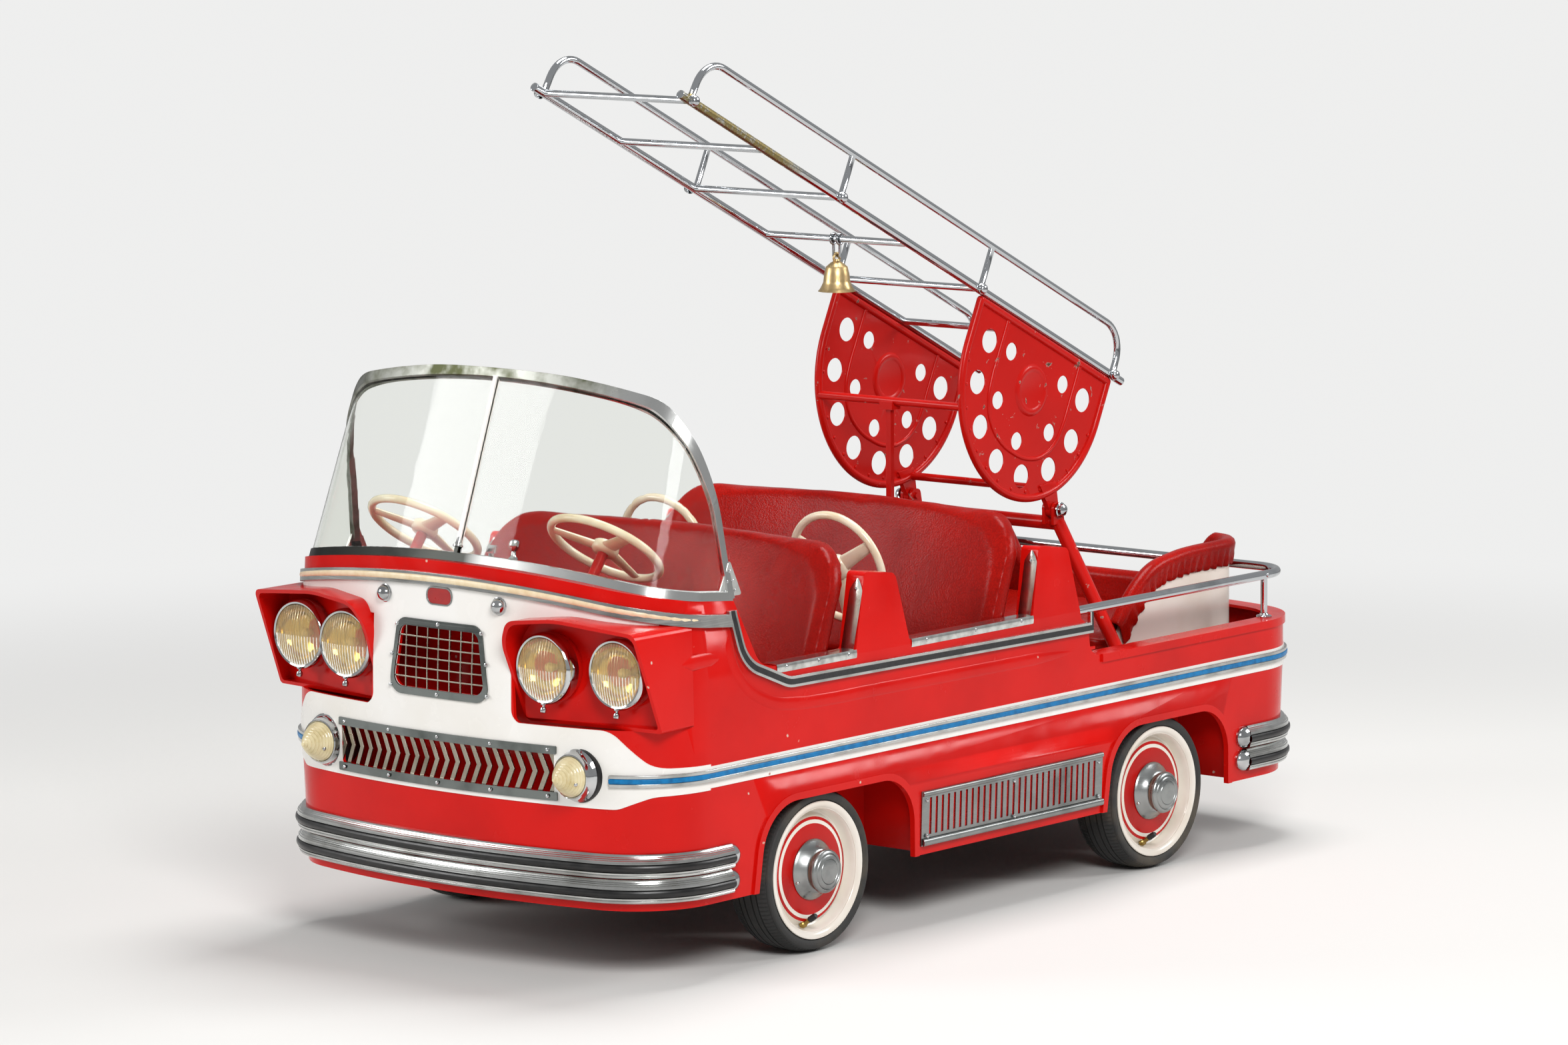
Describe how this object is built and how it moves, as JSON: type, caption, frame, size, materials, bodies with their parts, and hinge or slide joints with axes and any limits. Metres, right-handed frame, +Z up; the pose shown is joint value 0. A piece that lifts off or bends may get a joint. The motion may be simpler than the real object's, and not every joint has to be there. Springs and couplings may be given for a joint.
{
  "type": "fairground ride fire engine",
  "caption": "Small fairground ride fire engine with open bench seats, steering wheels, bent windscreen, and a tilting ladder with perforated side plates and a hanging bell.",
  "frame": {"origin": "centre of the footprint on the ground", "axes": "+Z up, the front looks along -Y, +X is the vehicle's left side"},
  "size_m": [0.8818, 1.916, 1.4336],
  "materials": {
    "red_gelcoat": "gloss",
    "white_gelcoat": "gloss",
    "polished_aluminium": "polished",
    "black_vinyl": "satin",
    "blue_vinyl": "satin",
    "chrome": "polished",
    "lamp_glass": "gloss",
    "black_steel": "satin",
    "floor_board": "matte",
    "red_leathercloth": "satin",
    "aluminium_tube": "satin",
    "red_steel": "gloss",
    "brass": "satin",
    "tyre_rubber": "matte",
    "white_steel": "gloss",
    "clear_acrylic": "gloss",
    "cream_plastic": "gloss"
  },
  "bodies": {
    "vehicle": {"axles": "black_steel", "belt_inserts": "black_vinyl", "belt_moulding": "polished_aluminium", "body_front": "red_gelcoat", "body_rear": "red_gelcoat", "body_side_left": "red_gelcoat", "body_side_right": "red_gelcoat", "bumper_bands": "black_vinyl", "bumper_caps": "chrome", "chassis": "black_steel", "dashboard": "red_gelcoat", "floor_pan": "floor_board", "front_bumper": "polished_aluminium", "grille_bars": "polished_aluminium", "grille_frames": "polished_aluminium", "guard_rail": "red_steel", "headlamp_hoods": "red_gelcoat", "ladder_support": "red_steel", "lamp_bowls": "chrome", "lamp_lenses": "lamp_glass", "louvre_panel_left": "polished_aluminium", "louvre_panel_right": "polished_aluminium", "rear_bumper": "polished_aluminium", "rear_deck": "floor_board", "rear_seat_cover": "red_leathercloth", "rear_seat_cushion": "red_leathercloth", "rear_seat_shell": "white_gelcoat", "seat_backs": "red_leathercloth", "seat_bases": "red_gelcoat", "seat_boards": "red_gelcoat", "seat_cushions": "red_leathercloth", "steering_columns": "red_steel", "waist_insert": "blue_vinyl", "waist_moulding": "polished_aluminium", "wheel_boxes": "red_gelcoat", "white_trim": "white_gelcoat", "windscreen_frame": "polished_aluminium", "windscreen_pane": "clear_acrylic"},
    "wheel_front_left": {"tyre_front_left": "tyre_rubber", "rim_front_left": "white_steel", "hub_cap_front_left": "chrome"},
    "wheel_front_right": {"tyre_front_right": "tyre_rubber", "rim_front_right": "white_steel", "hub_cap_front_right": "chrome"},
    "wheel_rear_left": {"tyre_rear_left": "tyre_rubber", "rim_rear_left": "white_steel", "hub_cap_rear_left": "chrome"},
    "wheel_rear_right": {"tyre_rear_right": "tyre_rubber", "rim_rear_right": "white_steel", "hub_cap_rear_right": "chrome"},
    "steering_front_left": {"steering_wheel_front_left": "cream_plastic"},
    "steering_front_right": {"steering_wheel_front_right": "cream_plastic"},
    "steering_second_left": {"steering_wheel_second_left": "cream_plastic"},
    "steering_second_right": {"steering_wheel_second_right": "cream_plastic"},
    "ladder_frame": {"ladder": "aluminium_tube", "ladder_plates": "red_steel"},
    "bell": {"bell": "brass", "bell_hanger": "brass"}
  },
  "joints": [
    {"name": "wheel_spin_front_left", "type": "hinge", "parent": "vehicle", "child": "wheel_front_left", "pos_m": [0.364, -0.47, 0.1353], "axis": [1, 0, 0], "continuous": true},
    {"name": "wheel_spin_front_right", "type": "hinge", "parent": "vehicle", "child": "wheel_front_right", "pos_m": [-0.364, -0.47, 0.1353], "axis": [1, 0, 0], "continuous": true},
    {"name": "wheel_spin_rear_left", "type": "hinge", "parent": "vehicle", "child": "wheel_rear_left", "pos_m": [0.364, 0.452, 0.1353], "axis": [1, 0, 0], "continuous": true},
    {"name": "wheel_spin_rear_right", "type": "hinge", "parent": "vehicle", "child": "wheel_rear_right", "pos_m": [-0.364, 0.452, 0.1353], "axis": [1, 0, 0], "continuous": true},
    {"name": "steering_turn_front_left", "type": "hinge", "parent": "vehicle", "child": "steering_front_left", "pos_m": [0.197, -0.745, 0.675], "axis": [0, 0.6018, 0.7986], "continuous": true},
    {"name": "steering_turn_front_right", "type": "hinge", "parent": "vehicle", "child": "steering_front_right", "pos_m": [-0.197, -0.745, 0.675], "axis": [0, 0.6018, 0.7986], "continuous": true},
    {"name": "steering_turn_second_left", "type": "hinge", "parent": "vehicle", "child": "steering_second_left", "pos_m": [0.19, -0.151, 0.577], "axis": [0, 0.9613, 0.2756], "continuous": true},
    {"name": "steering_turn_second_right", "type": "hinge", "parent": "vehicle", "child": "steering_second_right", "pos_m": [-0.19, -0.151, 0.577], "axis": [0, 0.9613, 0.2756], "continuous": true},
    {"name": "ladder_tilt", "type": "hinge", "parent": "vehicle", "child": "ladder_frame", "pos_m": [0, 0.478, 0.606], "axis": [-1, 0, 0], "range_deg": [0, 35]},
    {"name": "bell_swing", "type": "hinge", "parent": "ladder_frame", "child": "bell", "pos_m": [0, 0.08099, 1.1014], "axis": [1, 0, 0], "range_deg": [-25, 25]}
  ]
}
